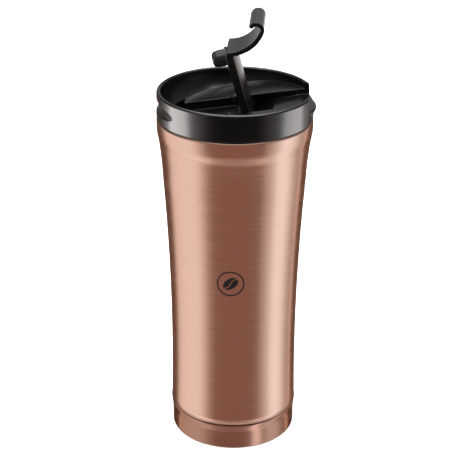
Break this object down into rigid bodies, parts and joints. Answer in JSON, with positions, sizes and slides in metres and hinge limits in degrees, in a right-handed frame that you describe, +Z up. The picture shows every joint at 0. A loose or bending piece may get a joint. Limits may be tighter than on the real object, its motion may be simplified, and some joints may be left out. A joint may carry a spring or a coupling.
{
  "type": "insulated tumbler with lid",
  "caption": "Tall double-walled brushed steel tumbler with a soft waist and flared shoulder, a black screw lid with a dished deck and a flip lever that plugs the drinking hole.",
  "frame": {"origin": "centre of the base, on the surface it stands on", "axes": "+Z up along the vessel's axis; +X from the drinking side to the rim notch, along the lever's channel; +Y is 90 degrees anticlockwise from +X seen from above"},
  "size_m": [0.0866, 0.0854, 0.2465],
  "materials": {
    "rose_steel": "rose gold tinted, fine brushing around the body",
    "bare_steel": "plain stainless, satin",
    "getter_metal": "matt sintered metal",
    "sealing_glass": "dark fused bead",
    "gasket_silicone": "translucent grey silicone",
    "black_plastic": "satin moulded black",
    "black_silicone": "soft matt black"
  },
  "bodies": {
    "vessel": {"outer_shell": "rose_steel", "inner_liner": "bare_steel", "base_cup": "rose_steel", "end_plate": "bare_steel", "getter": "getter_metal", "sealing_bead": "sealing_glass"},
    "seal": {"lid_gasket": "gasket_silicone"},
    "lid": {"lid_shell": "black_plastic", "screw_collar": "black_plastic", "hinge_pin": "bare_steel"},
    "lever": {"lever": "black_plastic", "drink_stopper": "black_silicone", "vent_plug": "black_silicone"}
  },
  "joints": [
    {"name": "lid_lift", "type": "slide", "parent": "vessel", "child": "seal", "axis": [0, 0, 1], "range_m": [0, 0.0251]},
    {"name": "lid_turn", "type": "hinge", "parent": "seal", "child": "lid", "pos_m": [0, 0, 0.19], "axis": [0, 0, 1], "range_deg": [0, 900]},
    {"name": "lever_turn", "type": "hinge", "parent": "lid", "child": "lever", "pos_m": [0.0057, 0, 0.1928], "axis": [0, -1, 0], "range_deg": [-76, 80.7]}
  ],
  "couplings": [
    {"joint": "lid_lift", "follows": "lid_turn", "m_per_rad": 0.0015915}
  ]
}
